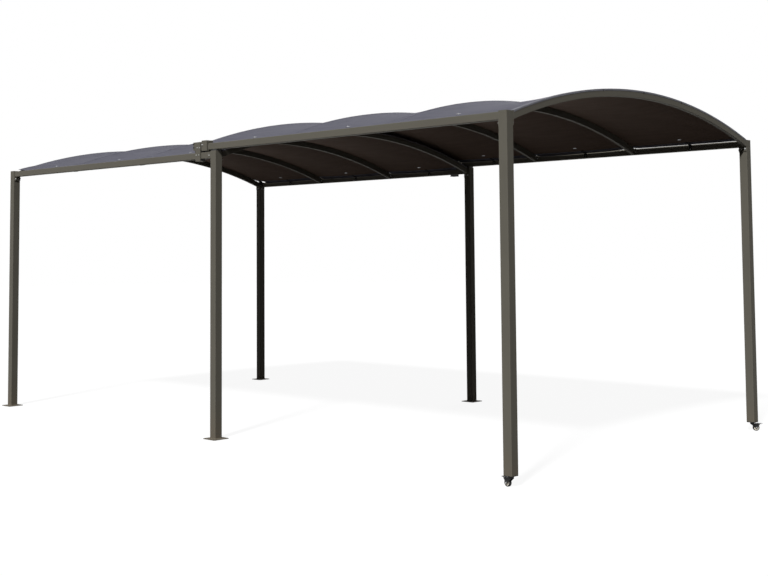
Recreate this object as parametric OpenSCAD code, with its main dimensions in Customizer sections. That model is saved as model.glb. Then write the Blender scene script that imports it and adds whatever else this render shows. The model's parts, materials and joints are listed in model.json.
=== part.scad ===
// Telescoping carport: a fixed bay on four bolted posts and a rolling bay
// on two castored posts that slides over it. Both bays carry arched ribs
// with a fabric sheet that sags between them. Millimetres, +Z up, X along
// the length with the castors at +X, origin on the floor below the middle.

/* [Overall] */
// Distance between the front and back rows of posts, centre to centre
row_spacing = 3010; // [2400:10:3600]
// Distance between the two posts of the fixed bay, centre to centre
fixed_length = 3055; // [2600:5:3600]
// Distance from the inner fixed post to the castored post
mobile_reach = 2828; // [2400:2:3000]
// Distance from the inner fixed post back to the first rolling arch
mobile_lap = 212; // [190:2:240]
// Height of the top of the fixed beams above the floor
fixed_beam_top = 2185; // [1900:5:2500]
// Height of the rolling bay above the fixed bay
level_step = 65; // [65:1:80]
// Rise of an arch from its ends to its crown
arch_rise = 262; // [180:2:320]
// Rise of the last arch, above the castored posts
end_arch_rise = 248; // [180:2:320]
// Height of an arch's end above the top of the beam beside it
arch_lift = 4; // [2:0.5:6]

/* [Tubes] */
// Side of the square posts
post_side = 65; // [50:1:70]
// Height of the beams
beam_height = 50; // [44:1:54]
// Width of the beams
beam_width = 50; // [44:1:54]
// Depth of an arch, measured along its radius
arch_depth = 50; // [40:1:52]
// Width of an arch along the length of the carport
arch_width = 30; // [24:1:40]
// Wall of every tube
tube_wall = 1.5; // [1.2:0.1:3]
// Outer corner radius of the posts and beams
tube_corner = 4; // [3.5:0.5:6]
// Eased corners of the arches
arch_ease = 2; // [1:0.5:3]
// Length of the splice inside the middle of an arch
splice_length = 240; // [160:10:320]
// Seam between the two halves of an arch
splice_seam = 1; // [0.5:0.5:2]

/* [Feet] */
// Side of the square base plates
plate_side = 140; // [120:5:180]
// Thickness of the base plates
plate_thick = 5; // [4:0.5:10]
// Corner radius of the base plates
plate_corner = 8; // [4:1:12]
// Distance between anchor holes
hole_spacing = 105; // [96:1:110]
// Diameter of the anchor holes
hole_diameter = 11; // [9:0.5:13]

/* [Joints of the frame] */
// Height of the posts above the beams beside them
post_rise = 5; // [3:0.5:8]
// Thickness of the caps on the posts
cap_thick = 3; // [2:0.5:4]
// Height of the end plates that bolt beams and arches to the posts
end_plate_height = 90; // [70:1:110]
// Width of those end plates
end_plate_width = 54; // [44:1:58]
// Thickness of every end plate
end_plate_thick = 5; // [3:0.5:6]
// Width of the end plates of the inner arches
rib_plate_width = 60; // [50:1:64]
// Height of the end plates of the inner arches
rib_plate_height = 54; // [52:1:58]

/* [Carriages] */
// Length of the box of a carriage along the fixed beam
carriage_length = 90; // [80:1:96]
// Reach of that box beyond the middle of the first rolling arch
carriage_lead = 35; // [30:1:40]
// Thickness of the bent plate of a carriage
carriage_plate = 3; // [2.5:0.5:5]
// Height of the box above the fixed beam
carriage_box = 63; // [56:1:70]
// Length of the hook round the outer side of the fixed beam
hook_length = 62; // [50:1:70]
// Distance that the hook stays back from the beam's inner side
hook_inset = 5; // [4:1:12]
// Room for the glide pad on top of the fixed beam
pad_top = 18.7; // [16:0.1:24]
// Room for the glide pad at the outer side of the fixed beam
pad_side = 4.7; // [4.5:0.1:8]
// Room for the glide pad below the fixed beam
pad_below = 14.7; // [10:0.1:18]
// Distance of the glide pads from the long edges of the fixed beam
pad_inset = 6; // [4:1:9]
// Distance of the glide pads from the ends of their carriage
pad_margin = 4; // [3:1:8]
// Height of the stub posts at the inner corners of the rolling bay
stub_height = 81; // [76:1:95]
// Gap between the stub posts and the fixed beams
stub_gap = 9.5; // [9.5:0.5:12]
// Length of the spacers at both sides of a stub post
spacer_length = 12; // [8:1:16]
// Side of the square spacers
spacer_side = 34; // [24:1:40]

/* [Canopy] */
// Drop of the fabric half way between two arches
sheet_sag = 42; // [15:1:48]
// Part of that drop that is left at the hems
hem_share = 0.2; // [0:0.05:0.4]
// Thickness of the fabric solids
sheet_thick = 1.5; // [1.2:0.1:3]
// Distance of a hem from the inner faces of the posts
hem_gap = 9; // [7:1:16]

/* [Castors] */
// Height from the floor to the underside of a castored post
castor_height = 70; // [66:1:84]
// Diameter of a wheel
wheel_diameter = 50; // [44:1:52]
// Width of a wheel
wheel_width = 18; // [16:0.5:22]
// Distance of the axle from the swivel axis
castor_trail = 27; // [24:1:30]
// Diameter of the axle
axle_diameter = 6; // [5:0.5:8]
// Diameter of the swivel pin
kingpin_diameter = 8; // [6:0.5:10]
// Thickness of a fork's cheeks
cheek_thick = 2.5; // [2:0.5:4]
// Radial thickness of a tyre
tyre_depth = 6; // [5:0.5:8]
// Radius of a tyre's shoulders
tyre_shoulder = 3.5; // [2:0.5:4]
// Diameter of the swivel race
race_diameter = 36; // [30:1:44]
// Height of the swivel race
race_height = 8; // [6:0.5:9]
// Thickness of the plate under a castored post
mount_plate = 4; // [3:0.5:5]
// Distance of the pedal's pin beyond the axle
pivot_ahead = 21; // [19:1:23]
// Height of the pedal's pin above the axle
pivot_above = 26; // [25:0.5:27]
// Diameter of the pedal's pin
pivot_diameter = 4; // [3:0.5:5]
// Angle that the pedal swings to brake
brake_swing = 20; // [15:1:22]
// Reach of a brake pedal from the swivel axis
pedal_reach = 76; // [68:1:80]
// Direction of the front castor's trail, turned from +X
castor_front_turn = 170; // [-180:5:180]
// Direction of the back castor's trail, turned from +X
castor_back_turn = 45; // [30:5:60]

/* [Fits] */
// Play of a piece that slides or lies on another
seat_gap = 0.3; // [0.2:0.1:0.5]
// Play round a pin, on the radius
pin_play = 0.05; // [0.02:0.01:0.1]
// Play of a tyre on its rim, on the radius
tyre_play = 0.3; // [0.2:0.1:0.5]

/* [Hidden] */
$fn = 64;
rows = ["front", "back"];
turns = [castor_front_turn, castor_back_turn];
powder_coat = "#5f5e57";
shade_coat = "#4b4a45";
cloth = "#75757d";
zinc = "#9a9a98";
black = "#1d1d1d";
nylon = "#2a2a2a";
hub_grey = "#b9b9b4";

pedal_width = wheel_width;
castor_far = pedal_reach * cos(castor_back_turn) + pedal_width / 2 * sin(castor_back_turn);
far_x = max(post_side / 2, castor_far);
length_all = plate_side / 2 + fixed_length + mobile_reach + far_x;
x_outer = -length_all / 2 + plate_side / 2;
x_inner = x_outer + fixed_length;
x_castor = x_inner + mobile_reach;
half_rows = row_spacing / 2;
weld_depth = end_plate_thick / 2;

mobile_beam_top = fixed_beam_top + level_step;
fixed_post_top = fixed_beam_top + post_rise;
mobile_post_top = mobile_beam_top + post_rise;

half_chord = half_rows - post_side / 2;
fixed_spring = fixed_beam_top + arch_lift;
mobile_spring = mobile_beam_top + arch_lift;
fixed_rises = [for (i = [0:3]) arch_rise];
mobile_rises = [for (i = [0:3]) i == 3 ? end_arch_rise : arch_rise];

x_mobile_last = x_castor + post_side / 2 - arch_width / 2;
x_mobile_first = x_inner - mobile_lap;
mobile_bay = (x_mobile_last - x_mobile_first) / 3;
fixed_ribs = [for (i = [0:3]) x_outer + i * fixed_length / 3];
mobile_ribs = [for (i = [0:3]) x_mobile_first + i * mobile_bay];

carriage_x = x_mobile_first - carriage_lead;
carriage_base = fixed_beam_top + seat_gap + pad_top;
carriage_half = beam_width / 2 + seat_gap + pad_side + carriage_plate;
stub_x = carriage_x + carriage_length + spacer_length + post_side / 2;
stub_base = fixed_beam_top + stub_gap;
mobile_beam_x = stub_x + post_side / 2 + spacer_length;

// Radius of an arch, and its height above its ends at a place across the rows
function arch_radius(rise) = (half_chord * half_chord + rise * rise) / (2 * rise);
function arch_z(y, rise) = rise - arch_radius(rise) + sqrt(pow(arch_radius(rise), 2) - y * y);

function row_side(r) = r == 0 ? -1 : 1;
function row_y(r) = row_side(r) * half_rows;

// Outline of a tube or plate with rounded corners, centred
module rounded(size, corner) {
  square([size[0], size[1] - 2 * corner], center = true);
  square([size[0] - 2 * corner, size[1]], center = true);
  for (sx = [-1, 1], sy = [-1, 1])
    translate([sx * (size[0] / 2 - corner), sy * (size[1] / 2 - corner)])
      circle(corner, $fn = 32);
}

// Outline of a bent tube with eased corners, centred
module eased(size, ease) {
  x = size[0] / 2;
  y = size[1] / 2;
  polygon([[ease - x, -y], [x - ease, -y], [x, ease - y], [x, y - ease],
           [x - ease, y], [ease - x, y], [-x, y - ease], [-x, ease - y]]);
}

// Section of a rolled tube
module tube_section(size) {
  difference() {
    rounded(size, tube_corner);
    rounded(size - 2 * [tube_wall, tube_wall], tube_corner - tube_wall);
  }
}

// Upright square tube, open at both ends
module square_tube(side, low, high) {
  translate([0, 0, low])
    linear_extrude(high - low)
      tube_section([side, side]);
}

// Rectangular tube along X between two places, with its top at a height
module beam_tube(from, to, top) {
  translate([from, 0, top - beam_height / 2])
    rotate([90, 0, 90])
      linear_extrude(to - from)
        tube_section([beam_width, beam_height]);
}

// Base plate with rounded corners and four anchor holes
module base_plate() {
  color(powder_coat)
    linear_extrude(plate_thick)
      difference() {
        rounded([plate_side, plate_side], plate_corner);
        for (sx = [-1, 1], sy = [-1, 1])
          translate([sx, sy] * hole_spacing / 2)
            circle(d = hole_diameter);
      }
}

// Post of the fixed bay, standing on its base plate
module fixed_post() {
  color(powder_coat)
    square_tube(post_side, plate_thick, fixed_post_top - cap_thick);
}

// Flat caps that close a pair of posts at a height
module post_caps(x, top) {
  color(shade_coat)
    for (r = [0, 1])
      translate([x, row_y(r), top - cap_thick])
        linear_extrude(cap_thick)
          rounded([post_side, post_side], tube_corner);
}

// Upright end plate of a beam, with its top level with the beam
module beam_end_plate(x, top) {
  translate([x, -end_plate_width / 2, top - end_plate_height])
    cube([end_plate_thick, end_plate_width, end_plate_height]);
}

// Beam of the fixed bay, which is also the rail of the carriage
module fixed_beam() {
  from = x_outer + post_side / 2;
  to = x_inner - post_side / 2;
  color(powder_coat) {
    beam_tube(from + weld_depth, to - weld_depth, fixed_beam_top);
    beam_end_plate(from, fixed_beam_top);
    beam_end_plate(to - end_plate_thick, fixed_beam_top);
  }
}

// Arc of an eased section in the YZ plane, kept between two places in Y
module arc_band(spring, rise, size, inset, ease, y_from, y_to) {
  radius = arch_radius(rise);
  sweep = 2 * asin(half_rows / radius);
  translate([0, 0, spring + rise - radius])
    intersection() {
      rotate([0, -90, 0])
        rotate([0, 0, -sweep / 2])
          rotate_extrude(angle = sweep, $fn = 720)
            translate([radius - inset - size[0] / 2, 0])
              eased(size, ease);
      translate([-size[1], y_from, 0])
        cube([2 * size[1], y_to - y_from, radius + 1]);
    }
}

// Bent tube of an arch, inset from the outline of the arch all round
module arc_tube(spring, rise, inset, y_from, y_to) {
  outline = [arch_depth, arch_width];
  core = inset + tube_wall;
  difference() {
    arc_band(spring, rise, outline - 2 * [inset, inset], inset, arch_ease, y_from, y_to);
    arc_band(spring, rise, outline - 2 * [core, core], core, arch_ease / 2,
             y_from - 1, y_to + 1);
  }
}

// Arch of two tube halves with welded end plates. The halves meet at the
// crown on an inner splice. plate holds the plate's width, height and shift.
module arch(spring, rise, half_span, plate) {
  tube_span = half_span - end_plate_thick;
  end_top = spring + arch_z(tube_span, rise);
  color(powder_coat) {
    for (s = [0, 1])
      mirror([0, s, 0]) {
        arc_tube(spring, rise, 0, splice_seam / 2, tube_span + weld_depth);
        translate([plate[2] - plate[0] / 2, tube_span, end_top - plate[1]])
          cube([plate[0], end_plate_thick, plate[1]]);
      }
    arc_tube(spring, rise, tube_wall + seat_gap, -splice_length / 2, splice_length / 2);
  }
}

// Half span and end plate of each arch. End arches meet posts, inner arches
// meet beams, and the first rolling arch meets its carriages.
rib_plate = [rib_plate_width, rib_plate_height, 0];
function at_end(i) = i == 0 || i == 3;
function fixed_span(i) = half_rows - (at_end(i) ? post_side : beam_width) / 2;
function fixed_plate(i) = at_end(i) ? [end_plate_width, end_plate_height, 0] : rib_plate;
function mobile_span(i) =
  half_rows - (i == 0 ? carriage_half : i == 3 ? post_side / 2 : beam_width / 2);
function mobile_plate(i) =
  i == 3 ? [end_plate_width, end_plate_height, (arch_width - end_plate_width) / 2] : rib_plate;

// Fabric sheet as a thin closed solid that lies on four arches. A column of
// it holds its place, its share of the sag and the rise of the roof there.
sheet_half = half_rows - post_side / 2 - hem_gap;
sheet_steps_y = 24;
sheet_steps_bay = 6;
rib_half = arch_width / 2 + 1;
end_inset = 2;

function sheet_columns(ribs, rises) = concat(
  [[ribs[0] - arch_width / 2 + end_inset, 0, rises[0]]],
  [for (b = [0:2], k = [0:sheet_steps_bay])
     let (t = k / sheet_steps_bay, from = ribs[b] + rib_half, to = ribs[b + 1] - rib_half)
       [from + t * (to - from), 4 * t * (1 - t), rises[b] + t * (rises[b + 1] - rises[b])]],
  [[ribs[3] + arch_width / 2 - end_inset, 0, rises[3]]]);

chord_lift = pow(2 * sheet_half / sheet_steps_y, 2) / (8 * arch_radius(arch_rise));

// Height of the fabric above the ends of the arches
function sheet_z(y, column) =
  arch_z(y, column[2]) + seat_gap + chord_lift
  - sheet_sag * column[1] * (1 - (1 - hem_share) * pow(y / sheet_half, 2));

module canopy(ribs, spring, rises) {
  columns = sheet_columns(ribs, rises);
  nx = len(columns);
  ny = sheet_steps_y + 1;
  layer = nx * ny;
  points = [for (lift = [0, sheet_thick], c = columns, j = [0:sheet_steps_y])
              let (y = sheet_half * (2 * j / sheet_steps_y - 1))
                [c[0], y, spring + sheet_z(y, c) + lift]];
  lower = [for (i = [0:nx - 2], j = [0:ny - 2])
             let (a = i * ny + j, b = a + ny)
               each [[a, b, b + 1], [a, b + 1, a + 1]]];
  upper = [for (f = lower) [f[0] + layer, f[2] + layer, f[1] + layer]];
  hems = [for (i = [0:nx - 2], e = [0, 1])
            let (a = i * ny + e * (ny - 1), b = a + ny)
              each e == 0
                ? [[a, a + layer, b + layer], [a, b + layer, b]]
                : [[a, b + layer, a + layer], [a, b, b + layer]]];
  ends = [for (j = [0:ny - 2], e = [0, 1])
            let (a = e * (nx - 1) * ny + j, b = a + 1)
              each e == 0
                ? [[a, b + layer, a + layer], [a, b, b + layer]]
                : [[a, a + layer, b + layer], [a, b + layer, b]]];
  color(cloth)
    polyhedron(points, concat(lower, upper, hems, ends));
}

// Post of the rolling bay, standing on its castor
module castor_post() {
  color(powder_coat)
    square_tube(post_side, castor_height, mobile_post_top - cap_thick);
}

// Beam of the rolling bay, bolted to its castored post
module mobile_beam() {
  to = x_castor - post_side / 2;
  color(powder_coat) {
    beam_tube(mobile_beam_x + weld_depth, to - weld_depth, mobile_beam_top);
    beam_end_plate(to - end_plate_thick, mobile_beam_top);
    translate([mobile_beam_x, -beam_width / 2, mobile_beam_top - beam_height])
      cube([end_plate_thick, beam_width, beam_height]);
  }
}

// Stub post at an inner corner of the rolling bay, closed at the top, with
// spacers that hold the carriage on one side and the beam on the other
module stub_post() {
  inner = post_side - 2 * tube_wall;
  spacer_z = mobile_beam_top - beam_height / 2 - stub_base;
  color(powder_coat)
    translate([stub_x, 0, stub_base]) {
      square_tube(post_side, 0, stub_height);
      translate([-inner / 2, -inner / 2, stub_height - cap_thick])
        cube([inner, inner, cap_thick]);
      for (s = [-1, 1])
        translate([s * (post_side + spacer_length) / 2, 0, spacer_z])
          cube([spacer_length, spacer_side, spacer_side], center = true);
    }
}

// Carriage: a box above the fixed beam and a hook round its outer side,
// open towards the bay so that it passes the ends of the fixed arches
hook_low = fixed_beam_top - beam_height - seat_gap - pad_below - carriage_plate;
hook_x = carriage_x + carriage_length - hook_length;

module carriage() {
  hook_reach = carriage_half + beam_width / 2 - hook_inset;
  color(shade_coat) {
    translate([carriage_x, 0, 0])
      rotate([90, 0, 90])
        linear_extrude(carriage_length)
          difference() {
            translate([-carriage_half, carriage_base])
              square([2 * carriage_half, carriage_box]);
            translate([-carriage_half + carriage_plate, carriage_base + carriage_plate])
              square([2 * (carriage_half - carriage_plate), carriage_box - 2 * carriage_plate]);
          }
    translate([hook_x, -carriage_half, hook_low]) {
      cube([hook_length, carriage_plate, carriage_base - hook_low + carriage_plate]);
      cube([hook_length, hook_reach, carriage_plate]);
    }
  }
}

// Glide pads of a carriage, above, beside and below the fixed beam
module glide_pads() {
  pad_half = beam_width / 2 - pad_inset;
  beam_low = fixed_beam_top - beam_height;
  color(nylon) {
    translate([carriage_x + pad_margin, -pad_half, fixed_beam_top + seat_gap])
      cube([carriage_length - 2 * pad_margin, 2 * pad_half, pad_top]);
    translate([hook_x + pad_margin, -beam_width / 2 - seat_gap - pad_side, beam_low + pad_margin])
      cube([hook_length - 2 * pad_margin, pad_side, beam_height - 2 * pad_margin]);
    translate([hook_x + pad_margin, -pad_half, beam_low - seat_gap - pad_below])
      cube([hook_length - 2 * pad_margin, 2 * pad_half, pad_below]);
  }
}

// Levels and places inside a castor, whose trail points along its own X
wheel_room = 2.5;
cheek_room = 1.5;
fork_back = -14;
race_low = castor_height - mount_plate - race_height;
crown_low = wheel_diameter + wheel_room;
crown_high = race_low - seat_gap;
cheek_in = wheel_width / 2 + cheek_room;
axle_z = wheel_diameter / 2;
pivot_x = castor_trail + pivot_ahead;
pivot_z = axle_z + pivot_above;

// Plate and swivel race under a castored post
module castor_mount() {
  side = post_side - 2 * tube_wall;
  color(zinc)
    difference() {
      union() {
        translate([-side / 2, -side / 2, castor_height - mount_plate])
          cube([side, side, mount_plate]);
        translate([0, 0, race_low])
          cylinder(d = race_diameter, h = race_height);
      }
      translate([0, 0, race_low - 1])
        cylinder(r = kingpin_diameter / 2 + pin_play, h = race_height + 1);
    }
}

// Side outline of a fork's cheek, from the crown to the axle and the pedal
module cheek_outline() {
  boss = axle_diameter / 2 + 4;
  ahead = pivot_x + pivot_diameter / 2 + 3;
  polygon([[fork_back, crown_high], [ahead, crown_high], [ahead, pivot_z - pivot_diameter],
           [castor_trail + boss, axle_z], [castor_trail - boss, axle_z],
           [fork_back, crown_low]]);
  translate([castor_trail, axle_z])
    circle(boss);
}

// Fork with its kingpin, the axle and the pedal's pin
module castor_fork() {
  crown_front = castor_trail + axle_diameter;
  outer = cheek_in + cheek_thick;
  color(black) {
    for (s = [-1, 1])
      translate([0, s * (cheek_in + cheek_thick / 2) + cheek_thick / 2, 0])
        rotate([90, 0, 0])
          linear_extrude(cheek_thick)
            cheek_outline();
    translate([fork_back, -outer, crown_low])
      cube([crown_front - fork_back, 2 * outer, crown_high - crown_low]);
    translate([0, 0, crown_low])
      cylinder(d = race_diameter, h = crown_high - crown_low);
    translate([0, 0, crown_low])
      cylinder(d = kingpin_diameter, h = race_low + race_height - 1 - crown_low);
    translate([castor_trail, outer, axle_z])
      rotate([90, 0, 0])
        cylinder(d = axle_diameter, h = 2 * outer);
    translate([pivot_x, outer, pivot_z])
      rotate([90, 0, 0])
        cylinder(d = pivot_diameter, h = 2 * outer);
  }
}

// Wheel centre: hub, web and rim in one turned piece
module wheel_core() {
  rim = wheel_diameter / 2 - tyre_depth - tyre_play;
  bore = axle_diameter / 2 + pin_play;
  hub = bore + 4;
  hub_half = cheek_in - seat_gap;
  rim_half = wheel_width / 2 - 2;
  web_half = 3;
  rim_in = rim - 3.5;
  color(hub_grey)
    translate([castor_trail, 0, axle_z])
      rotate([90, 0, 0])
        rotate_extrude()
          polygon([[bore, -hub_half], [hub, -hub_half], [hub, -web_half], [rim_in, -web_half],
                   [rim_in, -rim_half], [rim, -rim_half], [rim, rim_half], [rim_in, rim_half],
                   [rim_in, web_half], [hub, web_half], [hub, hub_half], [bore, hub_half]]);
}

// Tyre with rounded shoulders
module tyre() {
  outer = wheel_diameter / 2;
  inner = outer - tyre_depth;
  half = wheel_width / 2;
  color(black)
    translate([castor_trail, 0, axle_z])
      rotate([90, 0, 0])
        rotate_extrude()
          intersection() {
            translate([inner, -half])
              square([tyre_depth, wheel_width]);
            translate([inner, 0])
              rounded([2 * tyre_depth, wheel_width], tyre_shoulder);
          }
}

// Brake pedal that presses a nose on the tyre
module brake_lever() {
  hub = pivot_diameter / 2 + 2.5;
  hub_width = pedal_width - cheek_thick;
  nose_width = pedal_width - 2 * cheek_thick;
  nose = norm([pivot_x - castor_trail, pivot_z - axle_z]) - wheel_diameter / 2 - 2 * seat_gap;
  aim = atan2(axle_z - pivot_z, castor_trail - pivot_x) + brake_swing;
  color(black)
    translate([pivot_x, 0, pivot_z])
      rotate([90, 0, 0])
        difference() {
          union() {
            cylinder(r = hub, h = hub_width, center = true);
            rotate([0, 0, aim])
              translate([hub / 2, -2, -nose_width / 2])
                cube([nose - hub / 2, 4, nose_width]);
            translate([0, 0, -pedal_width / 2])
              linear_extrude(pedal_width)
                polygon([[-1, hub - 2], [pedal_reach - pivot_x - 3, hub + 2],
                         [pedal_reach - pivot_x, hub - 1], [hub - 2, -1]]);
          }
          cylinder(r = pivot_diameter / 2 + pin_play, h = pedal_width + 2, center = true);
        }
}

// Places a piece of a castor under its post, turned to its trail
module at_castor(r) {
  translate([x_castor, row_y(r), 0])
    rotate([0, 0, turns[r]])
      children();
}

// Places a piece of one row, mirrored so that its -Y side faces outwards
module at_row(r) {
  translate([0, row_y(r), 0])
    mirror([0, r, 0])
      children();
}

for (r = [0, 1]) {
  for (end = [["outer", x_outer], ["inner", x_inner]]) {
    translate([end[1], row_y(r), 0]) base_plate();
    translate([end[1], row_y(r), 0]) fixed_post();
  }
  at_row(r) fixed_beam();
  translate([x_castor, row_y(r), 0]) castor_post();
  at_row(r) mobile_beam();
  at_row(r) stub_post();
  at_row(r) carriage();
  at_row(r) glide_pads();
  translate([x_castor, row_y(r), 0]) castor_mount();
  at_castor(r) castor_fork();
  at_castor(r) wheel_core();
  at_castor(r) tyre();
  at_castor(r) brake_lever();
}
for (i = [0:3]) {
  translate([fixed_ribs[i], 0, 0])
      arch(fixed_spring, fixed_rises[i], fixed_span(i), fixed_plate(i));
  translate([mobile_ribs[i], 0, 0])
      arch(mobile_spring, mobile_rises[i], mobile_span(i), mobile_plate(i));
}
union() {  // fixed_post_caps
  post_caps(x_outer, fixed_post_top);
  post_caps(x_inner, fixed_post_top);
}
post_caps(x_castor, mobile_post_top);  // castor_post_caps
canopy(fixed_ribs, fixed_spring, fixed_rises);  // fixed_canopy
canopy(mobile_ribs, mobile_spring, mobile_rises);  // mobile_canopy
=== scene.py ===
# %% [markdown]
# # Dressing a telescoping carport
#
# The carport is a fixed bay on four bolted posts and a rolling bay on two
# castored posts that slides over it. The CAD frame already holds every tube,
# plate and castor at its real size. This lesson adds what the eye looks for:
# the paint, the two stretched cloths with their hems and eyelets, and the
# bolts and welds that hold the tubes together.

# %% Load the frame
import json
import math

import bmesh
import bpy
from mathutils import Matrix, Vector, noise

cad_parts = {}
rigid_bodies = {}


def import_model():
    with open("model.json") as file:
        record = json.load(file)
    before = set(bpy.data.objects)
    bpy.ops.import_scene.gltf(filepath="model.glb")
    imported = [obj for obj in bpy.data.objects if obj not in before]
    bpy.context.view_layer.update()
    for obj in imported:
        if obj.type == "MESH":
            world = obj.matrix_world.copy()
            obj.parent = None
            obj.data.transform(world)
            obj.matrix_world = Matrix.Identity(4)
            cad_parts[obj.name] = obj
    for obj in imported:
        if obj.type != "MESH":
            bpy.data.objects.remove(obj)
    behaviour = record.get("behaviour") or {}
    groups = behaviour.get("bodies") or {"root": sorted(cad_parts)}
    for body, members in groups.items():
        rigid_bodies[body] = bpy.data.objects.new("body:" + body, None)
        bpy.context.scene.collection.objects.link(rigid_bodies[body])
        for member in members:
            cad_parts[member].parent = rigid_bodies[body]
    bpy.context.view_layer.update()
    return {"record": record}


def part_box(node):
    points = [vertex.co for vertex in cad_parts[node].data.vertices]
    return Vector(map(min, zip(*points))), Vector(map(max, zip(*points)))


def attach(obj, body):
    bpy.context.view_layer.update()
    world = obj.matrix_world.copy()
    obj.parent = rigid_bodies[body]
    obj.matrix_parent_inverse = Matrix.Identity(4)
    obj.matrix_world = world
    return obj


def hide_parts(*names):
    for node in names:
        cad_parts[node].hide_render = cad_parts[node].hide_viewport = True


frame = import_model()
MM = 0.001

# %% [markdown]
# The camera stands where the photograph was taken. The feet and tops of the
# posts and the run of the beams gave its place, measured here from the foot of
# the front outer post, and its angles. The photograph was cropped, so its
# optical axis isn't in the middle of the picture: a lens shift repeats that
# and keeps the posts leaning as they do in the photograph.

# %% Camera
PHOTO_WIDTH, PHOTO_HEIGHT = 768, 576
FOCAL_PIXELS = 1209.1
AXIS_ROW = 172.3
SENSOR_WIDTH, FAR_CLIP = 36, 200
CAMERA_FROM_POST = Vector((10.4341, -5.7618, 1.4065))
CAMERA_YAW, CAMERA_PITCH, CAMERA_ROLL = (math.radians(a) for a in (44.10, 3.744, -0.459))


def corners(node):
    return [Vector(corner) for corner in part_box(node)]


def middle(node):
    low, high = corners(node)
    return (low + high) / 2


first_post = middle("post_front_outer")
lens = bpy.data.cameras.new("photo_lens")
lens.sensor_width = SENSOR_WIDTH
lens.lens = FOCAL_PIXELS / PHOTO_WIDTH * SENSOR_WIDTH
lens.shift_y = (AXIS_ROW - PHOTO_HEIGHT / 2) / PHOTO_WIDTH
lens.clip_end = FAR_CLIP
camera = bpy.data.objects.new("photo_camera", lens)
camera.matrix_world = (
    Matrix.Translation(CAMERA_FROM_POST + Vector((first_post.x, first_post.y, 0)))
    @ Matrix.Rotation(CAMERA_YAW, 4, "Z")
    @ Matrix.Rotation(math.pi / 2 + CAMERA_PITCH, 4, "X")
    @ Matrix.Rotation(CAMERA_ROLL, 4, "Z")
)
bpy.context.collection.objects.link(camera)
bpy.context.scene.camera = camera
print("camera at", tuple(round(c, 3) for c in camera.location), "lens", round(lens.lens, 2), "mm")

# %% [markdown]
# One function turns the hex colour of a paint chart into Blender's linear
# colour, and one adds a shader node with its settings and its links. Every
# material below is put together from those two.


# %% Colour and node helpers
def paint(hex_colour):
    channels = [int(hex_colour[i : i + 2], 16) / 255 for i in (1, 3, 5)]
    linear = [c / 12.92 if c <= 0.04045 else ((c + 0.055) / 1.055) ** 2.4 for c in channels]
    return (*linear, 1.0)


def add(tree, kind, inputs=None, **settings):
    node = tree.nodes.new("ShaderNode" + kind)
    for name, value in settings.items():
        setattr(node, name, value)
    for name, value in (inputs or {}).items():
        if isinstance(value, bpy.types.NodeSocket):
            tree.links.new(value, node.inputs[name])
        else:
            node.inputs[name].default_value = value
    return node


def new_material(name):
    material = bpy.data.materials.new(name)
    material.use_nodes = True
    tree = material.node_tree
    tree.nodes.clear()
    return material, tree


print("white is", paint("#ffffff"), "and mid grey is", paint("#808080"))

# %% [markdown]
# The photograph is a cut-out on white with sun from the front, so the front
# faces are lit, the ends are half lit and the underside of the roof is nearly
# black. A soft sun and a weak sky give that, and a weaker light from behind
# keeps the far side readable. The floor and the sky look white to the camera
# and in reflections, but send only a little light back up, so that the roof
# keeps its dark underside and the floor keeps a soft shadow.

# %% Sun and sky
SUN_TOWARDS, SUN_LEVEL, SUN_SOFTNESS = Vector((0.30, -0.68, 0.67)), 1.35, math.radians(6)
BACK_TOWARDS, BACK_LEVEL, BACK_SOFTNESS = Vector((-0.35, 0.88, 0.30)), 0.40, math.radians(25)
SKY_LEVEL = 0.055


def hang_sun(name, towards, level, softness):
    lamp = bpy.data.lights.new(name, "SUN")
    lamp.energy = level * math.pi
    lamp.angle = softness
    hung = bpy.data.objects.new(name, lamp)
    hung.rotation_euler = towards.to_track_quat("Z", "Y").to_euler()
    bpy.context.collection.objects.link(hung)


def seen_directly(tree):
    path = add(tree, "LightPath").outputs
    seen = path["Is Camera Ray"]
    for kind in ("Is Glossy Ray", "Is Transmission Ray"):
        seen = add(tree, "Math", {0: seen, 1: path[kind]}, operation="MAXIMUM").outputs[0]
    return seen


hang_sun("soft_sun", SUN_TOWARDS, SUN_LEVEL, SUN_SOFTNESS)
hang_sun("back_fill", BACK_TOWARDS, BACK_LEVEL, BACK_SOFTNESS)
world = bpy.data.worlds.new("white_room")
world.use_nodes = True
sky = world.node_tree
sky.nodes.clear()
fill = add(sky, "Background", {"Color": paint("#f4f6ff"), "Strength": SKY_LEVEL})
white = add(sky, "Background", {"Color": paint("#ffffff"), "Strength": 1.0})
either = add(sky, "MixShader", {0: seen_directly(sky), 1: fill.outputs[0], 2: white.outputs[0]})
add(sky, "OutputWorld", {"Surface": either.outputs[0]})
bpy.context.scene.world = world
bpy.context.scene.view_settings.view_transform = "Standard"
print("sun level", SUN_LEVEL, "sky level", SKY_LEVEL)

# %% Floor
FLOOR_RADIUS, FLOOR_GLOW, SHADOW_SHARE = 45, 1.03, 0.11
floor_paint, tree = new_material("pale_studio_floor")
glow = add(tree, "Emission", {"Color": paint("#ffffff"), "Strength": FLOOR_GLOW})
pale = add(tree, "BsdfDiffuse", {"Color": paint("#f6f6f6")})
shown = add(tree, "MixShader", {0: SHADOW_SHARE, 1: glow.outputs[0], 2: pale.outputs[0]})
dull = add(tree, "BsdfDiffuse", {"Color": paint("#393632")})
either = add(tree, "MixShader", {0: seen_directly(tree), 1: dull.outputs[0], 2: shown.outputs[0]})
add(tree, "OutputMaterial", {"Surface": either.outputs[0]})

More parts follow.
